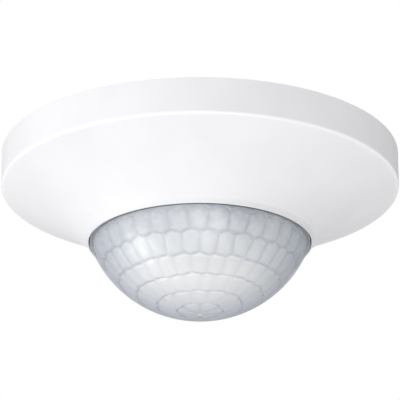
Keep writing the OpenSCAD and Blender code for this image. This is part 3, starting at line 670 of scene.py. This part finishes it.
def board_look(name):
    """Green solder mask over copper runs, with tinned pads, a bare edge, and a near-black disc of
    painted shade in each drilled hole.
    """
    n = Look(name)
    low, high, _ = node_box(name)
    cell = n.add(
        "ShaderNodeVectorMath", {0: n.place, 1: (TRACE_PITCH,) * 3}, operation="SNAP"
    ).outputs[0]
    middle = n.add(
        "ShaderNodeVectorMath", {0: cell, 1: (TRACE_PITCH / 2,) * 3}, operation="ADD"
    ).outputs[0]
    offset = n.add("ShaderNodeVectorMath", {0: n.place, 1: middle}, operation="SUBTRACT").outputs[0]
    flat_cell = n.add("ShaderNodeVectorMath", {0: cell, 1: (1, 1, 0)}, operation="MULTIPLY").outputs[0]
    draw = n.add("ShaderNodeTexWhiteNoise", {"Vector": flat_cell}).outputs["Value"]
    local = n.add("ShaderNodeSeparateXYZ", {0: offset})
    runs = [n.between(local.outputs[axis], -TRACE_HALF_W, TRACE_HALF_W) for axis in (X, Y)]
    copper = n.math("MAXIMUM", n.math("MULTIPLY", runs[0], n.between(draw, *X_RUN_DRAWS)),
                    n.math("MULTIPLY", runs[1], n.between(draw, *Y_RUN_DRAWS)))
    from_pad = n.length(offset)
    has_pad = n.between(draw, *PAD_DRAWS)
    pad = n.math("MULTIPLY", n.between(from_pad, -1.0, PAD_R), has_pad)
    drill = n.math("MULTIPLY", n.between(from_pad, -1.0, DRILL_R), has_pad)
    mask = n.mottle((0.012, 0.13, 0.055), (0.010, 0.105, 0.045), 0.2)
    covered = n.blend(copper, mask, colour(0.03, 0.23, 0.09))
    tinned = n.blend(pad, covered, n.mottle(TIN, TIN_DARK, 1.5, 4.0))
    # Painted shade: a near-black disc where each drilled hole's shade would be.
    drilled = n.blend(drill, tinned, colour(0.02, 0.02, 0.02))
    edge = n.between(n.axes[Z], low.z + 0.06, high.z - 0.06)
    tint = n.blend(edge, drilled, n.mottle((0.36, 0.34, 0.17), (0.28, 0.26, 0.12), 1.0))
    open_pad = n.math("MULTIPLY", n.math("SUBTRACT", pad, drill), n.math("SUBTRACT", 1.0, edge))
    height = n.math("ADD", copper, pad)
    gloss = n.pick(edge, 0.75, n.uneven(0.26, 0.05))
    return n.solid(tint, gloss, Metallic=open_pad, Normal=n.bump(height, 0.5, 0.035))


WIRE_PITCH = 0.22


def winding_look(name, flange, flange_dark, low_flange, high_flange):
    """Enamelled copper turns between two flanges of another material, with painted shade between
    the turns and a painted highlight on each turn's crown.
    """
    n = Look(name)
    low, high, _ = node_box(name)
    wound = n.between(n.axes[Z], low.z + low_flange, high.z - high_flange)
    turns = n.math("SINE", n.math("MULTIPLY", n.axes[Z], TURN / WIRE_PITCH))
    rounded = n.math("MULTIPLY", n.ramp(turns, 0.0, 1.0, -1.0, 1.0), wound)
    # Painted shade and highlight: the copper is dark in the groove between turns and bright on each turn's
    # crown.
    bright = n.mottle((0.72, 0.30, 0.12), (0.60, 0.22, 0.08), 0.7)
    copper = n.blend(rounded, colour(0.28, 0.075, 0.02), bright)
    tint = n.blend(wound, n.mottle(flange, flange_dark, 1.0), copper)
    relief = n.bump(rounded, 0.8, 0.06)
    return n.solid(tint, n.pick(wound, 0.27, 0.55), Metallic=n.pick(wound, 0.55, 0.0), Normal=relief)


TICK_STEP = math.radians(27)
TICK_HALF_ANGLE = 0.05
TICK_RADII = (3.9, 4.7)


def dial_ticks(n, dial):
    """1 on the short marks printed round a dial's hole."""
    _, _, middle = node_box(dial)
    offset = n.add(
        "ShaderNodeVectorMath", {0: n.place, 1: tuple(middle)}, operation="SUBTRACT"
    ).outputs[0]
    parts = n.add("ShaderNodeSeparateXYZ", {0: offset})
    angle = n.math("ARCTAN2", parts.outputs[Y], parts.outputs[X])
    wrapped = n.math("WRAP", angle, TICK_STEP / 2, -TICK_STEP / 2)
    on_angle = n.between(wrapped, -TICK_HALF_ANGLE, TICK_HALF_ANGLE)
    on_radius = n.between(n.distance(middle), *TICK_RADII)
    return n.math("MULTIPLY", on_angle, on_radius)


def front_plate_look(name):
    n = Look(name)
    ticks = n.math("MAXIMUM", dial_ticks(n, "time_dial"), dial_ticks(n, "twilight_dial"))
    white = n.mottle((0.86, 0.86, 0.85), (0.82, 0.82, 0.81), 0.07)
    tint = n.blend(ticks, white, colour(0.08, 0.08, 0.09))
    relief = n.bump(n.noise(2.5, 5.0, n.place), 0.35, 0.02)
    return n.solid(tint, n.uneven(0.45, 0.06), Normal=relief)


CAN_TOP_T = 0.35
CAN_TOP_R = 3.3
CAN_BAND_HALF_W = 1.2


def can_look(name):
    """An electrolytic can: a shrunk sleeve with a plain pale band, and a bare aluminium top."""
    n = Look(name)
    _, high, middle = node_box(name)
    top = n.math(
        "MULTIPLY", n.math("GREATER_THAN", n.axes[Z], high.z - CAN_TOP_T),
        n.between(n.distance(middle), -1.0, CAN_TOP_R),
    )
    band = n.math("MULTIPLY", n.between(n.axes[Y], middle.y - CAN_BAND_HALF_W, middle.y + CAN_BAND_HALF_W),
                  n.math("GREATER_THAN", n.axes[X], middle.x))
    blue = n.mottle((0.03, 0.04, 0.10), (0.02, 0.03, 0.08), 0.5)
    sleeve = n.blend(band, blue, colour(0.55, 0.58, 0.62))
    tint = n.blend(top, sleeve, n.mottle((0.80, 0.80, 0.81), (0.70, 0.70, 0.71), 1.0, 5.0))
    relief = n.bump(n.noise(1.2, 3.0, n.place), 0.4, 0.03)
    return n.solid(tint, n.pick(top, 0.38, n.uneven(0.24, 0.05)), Metallic=top, Normal=relief)


# Colour bands of the resistor, from one end: place along the body as a share, and colour.
RESISTOR_BANDS = ((0.30, (0.75, 0.12, 0.02)), (0.42, (0.02, 0.02, 0.02)), (0.54, (0.30, 0.13, 0.04)),
                  (0.70, (0.62, 0.42, 0.10)))
RESISTOR_LEAD = 1.5
BAND_HALF_W = 0.28


def resistor_look(name):
    n = Look(name)
    low, high, _ = node_box(name)
    start, end = low.x + RESISTOR_LEAD, high.x - RESISTOR_LEAD
    tint = n.mottle((0.16, 0.42, 0.44), (0.12, 0.34, 0.37), 0.8)
    for share, band in RESISTOR_BANDS:
        at = start + (end - start) * share
        tint = n.blend(n.between(n.axes[X], at - BAND_HALF_W, at + BAND_HALF_W), tint, colour(*band))
    lead = n.outside(n.axes[X], start, end)
    tint = n.blend(lead, tint, n.mottle(TIN, TIN_DARK, 1.5))
    relief = n.bump(n.noise(1.5, 3.0, n.place), 0.4, 0.03)
    return n.solid(tint, n.pick(lead, 0.3, n.uneven(0.3, 0.05)), Metallic=lead, Normal=relief)


# Where the rows of chip parts lie on the sensor board: each row's reach along Y, and the reach of
# the bodies between their tinned ends. The far row's parts lie along X, and the two round
# capacitors stand beyond the ceramic row.
RESISTOR_ROW = (16, 20)
RESISTOR_BODIES = (17.4, 18.6)
CERAMIC_ROW = (-19.4, -16)
CERAMIC_BODIES = (-18.75, -17.25)
FAR_ROW = (23, 25)
FAR_PITCH = 3.4
FAR_HALF_W = 0.6
ROW_X = 4.0
CANS_BELOW_Y = -15
CANS_FROM_X = 4.5


def chip_parts_look(name):
    """Rows of ceramic parts with tinned ends, and two round aluminium capacitors."""
    n = Look(name)
    x, y = n.axes[X], n.axes[Y]
    resistors = n.between(y, *RESISTOR_ROW)
    ends = n.math("MULTIPLY", resistors, n.outside(y, *RESISTOR_BODIES))
    low_ends = n.math("MULTIPLY", n.between(y, *CERAMIC_ROW), n.outside(y, *CERAMIC_BODIES))
    local = n.math("WRAP", n.math("SUBTRACT", x, ROW_X), FAR_PITCH / 2, -FAR_PITCH / 2)
    far_ends = n.math("MULTIPLY", n.between(y, *FAR_ROW), n.outside(local, -FAR_HALF_W, FAR_HALF_W))
    left = n.math("LESS_THAN", x, ROW_X)
    tinned = n.math("MAXIMUM", n.math("MAXIMUM", ends, far_ends), n.math("MULTIPLY", low_ends, left))
    cans = n.math("MULTIPLY", n.math("LESS_THAN", y, CANS_BELOW_Y), n.math("GREATER_THAN", x, CANS_FROM_X))
    metal = n.math("MAXIMUM", tinned, cans)
    ceramic = n.mottle((0.42, 0.27, 0.15), (0.34, 0.21, 0.11), 1.2)
    body = n.blend(resistors, ceramic, colour(0.02, 0.02, 0.022))
    tint = n.blend(metal, body, n.mottle(TIN, TIN_DARK, 1.2, 4.0))
    relief = n.bump(n.noise(3.0, 3.0, n.place), 0.4, 0.02)
    return n.solid(tint, n.pick(metal, 0.32, 0.42), Metallic=metal, Normal=relief)


def foam_look(name):
    """Closed-cell foam: small open bubbles on its cut faces, each darkened towards its middle as painted
    shade.
    """
    n = Look(name)
    cells = n.add("ShaderNodeTexVoronoi", {"Vector": n.place, "Scale": 2.2}).outputs["Distance"]
    # Painted shade: each bubble is darker towards its hollow middle.
    wall = n.ramp(cells, 0.0, 1.0, 0.1, 0.6)
    tint = n.blend(wall, colour(0.03, 0.03, 0.034), colour(0.085, 0.085, 0.09))
    return n.solid(tint, n.uneven(0.88, 0.06), Normal=n.bump(cells, 0.8, 0.12))


def window_look(name):
    """Coated silicon: nearly black and glossy, with a faint violet cast."""
    n = Look(name)
    tint = n.mottle((0.035, 0.028, 0.06), (0.02, 0.025, 0.04), 0.5)
    relief = n.bump(n.noise(0.8, 2.0, n.place), 0.1, 0.01)
    return n.solid(tint, n.uneven(0.09, 0.03), Coat_Weight=0.6, Normal=relief)


def epoxy_look(name, light, dark):
    """A cast epoxy package that passes light."""
    n = Look(name)
    tint = n.mottle(light, dark, 0.5)
    waves = n.bump(n.noise(0.7, 2.0, n.place), 0.2, 0.03)
    return n.solid(tint, n.uneven(0.1, 0.03), Transmission_Weight=0.75, Normal=waves)


def dial_look(name):
    """Moulded dial, with its edges worn paler by a screwdriver."""
    n = Look(name)
    low, _, _ = node_box(name)
    worn = n.math("MULTIPLY", n.between(n.axes[Z], low.z - 1, low.z + 0.25),
                  n.ramp(n.noise(1.5, 5.0, n.place), 0.0, 0.8, 0.48, 0.62))
    tint = n.blend(worn, n.mottle((0.82, 0.36, 0.03), (0.74, 0.30, 0.02), 0.3), colour(0.9, 0.62, 0.32))
    return n.solid(tint, n.uneven(0.32, 0.06), Normal=n.bump(n.noise(2.0, 4.0, n.place), 0.3, 0.02))


CONTACT_T = 0.78


def contact_look(name):
    """A bronze strip with a silver contact on its tip."""
    n = Look(name)
    _, high, _ = node_box(name)
    tip = n.math("GREATER_THAN", n.axes[Z], high.z - CONTACT_T)
    tint = n.blend(tip, n.mottle((0.70, 0.42, 0.18), (0.58, 0.33, 0.13), 0.9), colour(0.82, 0.81, 0.78))
    relief = n.bump(n.noise(3.0, 4.0, n.place), 0.3, 0.01)
    return n.solid(tint, n.uneven(0.3, 0.07), Metallic=1.0, Normal=relief)


def pins_outside(name, low_share, high_share):
    """is_lead for a strip whose pins reach past it: where z is below or above the strip."""
    low, high, _ = node_box(name)
    return lambda n: n.outside(
        n.axes[Z], low.z + (high.z - low.z) * low_share, low.z + (high.z - low.z) * high_share
    )


def leads_outside(name, half_w, half_d):
    """is_lead for a chip: outside its body, seen from above."""
    _, _, middle = node_box(name)
    return lambda n: n.math(
        "MAXIMUM",
        n.outside(n.axes[X], middle.x - half_w, middle.x + half_w),
        n.outside(n.axes[Y], middle.y - half_d, middle.y + half_d),
    )


def leads_below(name, height):
    low, _, _ = node_box(name)
    return lambda n: n.math("LESS_THAN", n.axes[Z], low.z + height)


BLACK = ((0.028, 0.028, 0.031), (0.020, 0.020, 0.023))
ZINC = ((0.70, 0.73, 0.76), (0.56, 0.58, 0.58))
# Half the width and half the depth of each chip's body
CHIP_BODIES = {
    "microcontroller": (3.5, 3.5),
    "amplifier_chip": (4.3, 1.95),
    "bridge_rectifier": (2.35, 1.95),
}


def node_material(name):
    """The material of one carried-over node, by its name or else by its material slot."""
    if name in CHIP_BODIES:
        return leaded_look(name, *BLACK, 0.5, leads_outside(name, *CHIP_BODIES[name]), 4.0)
    if name == "pin_header":
        return leaded_look(name, *BLACK, 0.45, pins_outside(name, 0.16, 0.435), 3.0)
    if name == "socket_connector":
        return leaded_look(name, *BLACK, 0.45, pins_outside(name, -0.1, 0.86), 3.0)
    if name == "relay_coil":
        return winding_look(name, (0.62, 0.60, 0.55), (0.52, 0.50, 0.46), 0.8, 1.3)
    if name == "choke":
        return winding_look(name, (0.05, 0.05, 0.055), (0.03, 0.03, 0.035), 1.2, 1.2)
    if name == "varistor":
        return leaded_look(
            name, (0.02, 0.09, 0.34), (0.015, 0.07, 0.28), 0.22, leads_below(name, 0.95), 0.8, 0.12
        )
    if name == "front_plate":
        return front_plate_look(name)
    special = {
        "power_board": board_look, "sensor_board": board_look, "smoothing_capacitor": can_look,
        "fuse_resistor": resistor_look, "chip_parts": chip_parts_look, "lens_seal": foam_look,
        "pyro_window": window_look, "relay_contacts": contact_look,
        "time_dial": dial_look, "twilight_dial": dial_look,
    }
    if name in special:
        return special[name](name)
    slots = {
        "white_plastic": lambda: plastic_look(name, (0.86, 0.86, 0.85), (0.81, 0.81, 0.80), 0.45),
        "grey_plastic": lambda: plastic_look(name, (0.56, 0.57, 0.58), (0.50, 0.51, 0.52), 0.5, 2.0, 0.035),
        "black_plastic": lambda: plastic_look(name, *BLACK, 0.5, 3.0),
        "relay_plastic": lambda: plastic_look(name, (0.03, 0.07, 0.16), (0.022, 0.055, 0.13), 0.32, 3.0),
        "trimmer_blue": lambda: plastic_look(name, (0.03, 0.11, 0.36), (0.02, 0.085, 0.30), 0.35, 3.0),
        "film_yellow": lambda: plastic_look(name, (0.78, 0.48, 0.05), (0.70, 0.41, 0.04), 0.33, 1.5),
        "steel": lambda: metal_look(name, *ZINC, 0.32),
        "spring_steel": lambda: metal_look(name, (0.60, 0.60, 0.61), (0.48, 0.48, 0.50), 0.2, (9, 9, 0.6)),
        "yoke_steel": lambda: metal_look(name, (0.52, 0.53, 0.54), (0.40, 0.40, 0.40), 0.38, (2, 9, 9)),
        "brass": lambda: metal_look(name, (0.78, 0.64, 0.38), (0.62, 0.48, 0.26), 0.3, (9, 1, 9)),
        "sensor_can": lambda: metal_look(name, (0.78, 0.77, 0.73), (0.68, 0.67, 0.63), 0.2, (3, 3, 12)),
        "clear_epoxy": lambda: epoxy_look(name, (0.88, 0.94, 0.98), (0.80, 0.88, 0.93)),
        "red_epoxy": lambda: epoxy_look(name, (0.85, 0.10, 0.07), (0.70, 0.06, 0.05)),
    }
    return slots[SLOT_OF[name]]()


REPLACED = ("cover", "lens")


def paint_nodes():
    for name, piece in NODES.items():
        if name in REPLACED:
            continue
        piece.data.materials.clear()
        piece.data.materials.append(node_material(name))


# ---- Camera, light and floor ----

CAMERA_AT = Vector((0, -929.6, -383.6)) * MM
CAMERA_AIM = Vector((0, 0, -15)) * MM
CAMERA_LENS = 288.6
CAMERA_SENSOR = 36


def build_camera():
    data = bpy.data.cameras.new("camera")
    data.lens = CAMERA_LENS
    data.sensor_width = CAMERA_SENSOR
    data.clip_start = 0.01
    camera = bpy.data.objects.new("camera", data)
    bpy.context.scene.collection.objects.link(camera)
    camera.location = CAMERA_AT
    camera.rotation_euler = (CAMERA_AIM - CAMERA_AT).to_track_quat("-Z", "Y").to_euler()
    bpy.context.scene.camera = camera


def area_light(name, at, size, power, aim=(0, 0, -20)):
    """A round light at a place in millimetres, size millimetres across, in watts."""
    data = bpy.data.lights.new(name, "AREA")
    data.shape = "DISK"
    data.size = size * MM
    data.energy = power
    light = bpy.data.objects.new(name, data)
    bpy.context.scene.collection.objects.link(light)
    light.location = Vector(at) * MM
    light.rotation_euler = (Vector(aim) * MM - light.location).to_track_quat("-Z", "Y").to_euler()


# The studio's soft light: its mean radiance, and how much it rises towards the left, the front
# and below.
LIGHT_MEAN = 0.825
LIGHT_RISE = (-0.085, -0.35, -0.085)
# Patches in it, by direction, sharpness and strength: a dark flag to the front right and a
# bright panel overhead.
LIGHT_PATCHES = (((0.62, -0.77, 0.12), 7, -1.3), ((0, 0, 1), 6, 0.8))
# The floor, in metres, and where it fades out from its middle, in millimetres.
FLOOR_Z = -1.5
FLOOR_HALF = 1.2
FLOOR_FADE = (500, 1150)


def build_world():
    world = bpy.data.worlds.new("studio")
    bpy.context.scene.world = world
    world.use_nodes = True
    w = Tree(world.node_tree)
    background = w.tree.nodes["Background"]
    direction = w.add("ShaderNodeTexCoord").outputs["Generated"]

    def towards(way):
        dot = w.add("ShaderNodeVectorMath", {0: direction, 1: way}, operation="DOT_PRODUCT")
        return dot.outputs["Value"]

    level = w.math("ADD", towards(LIGHT_RISE), LIGHT_MEAN)
    for way, sharpness, strength in LIGHT_PATCHES:
        patch = w.math("POWER", w.math("MAXIMUM", towards(way), 0.0), sharpness)
        level = w.math("MULTIPLY_ADD", patch, strength, level)
    # The camera sees plain white behind the part.
    seen = w.add("ShaderNodeLightPath").outputs["Is Camera Ray"]
    strength = w.add("ShaderNodeMix", {"Factor": seen, "A": level, "B": 1.0})
    w.put(background.inputs["Strength"], strength.outputs["Result"])
    background.inputs["Color"].default_value = colour(1, 1, 1)


def build_floor():
    square = ((-1, -1), (1, -1), (1, 1), (-1, 1))
    mesh = bpy.data.meshes.new("floor")
    mesh.from_pydata([(FLOOR_HALF * x, FLOOR_HALF * y, FLOOR_Z) for x, y in square], [], [(0, 1, 2, 3)])
    floor = bpy.data.objects.new("floor", mesh)
    bpy.context.scene.collection.objects.link(floor)
    n = Nodes("floor")
    shade = n.ramp(n.noise(0.01, 2.0), 0.88, 0.92, 0.3, 0.7)
    diffuse = n.add("ShaderNodeBsdfDiffuse", {"Color": shade})
    # The floor fades out before its edges, as a studio sweep does.
    fade = n.ramp(n.length(n.position()), 0.0, 1.0, *FLOOR_FADE)
    nothing = n.add("ShaderNodeBsdfTransparent")
    mesh.materials.append(n.finish(n.add("ShaderNodeMixShader", {0: fade, 1: diffuse, 2: nothing})))


def build_studio():
    build_world()
    area_light("key", (-780, -70, -620), 480, 0.5)
    area_light("key_core", (-775, -70, -616), 320, 0.45)
    area_light("fill", (165, -825, -715), 700, 1.35)
    build_floor()
    bpy.context.scene.view_settings.view_transform = "Standard"


paint_nodes()
build_cover()
build_lens()
build_camera()
build_studio()
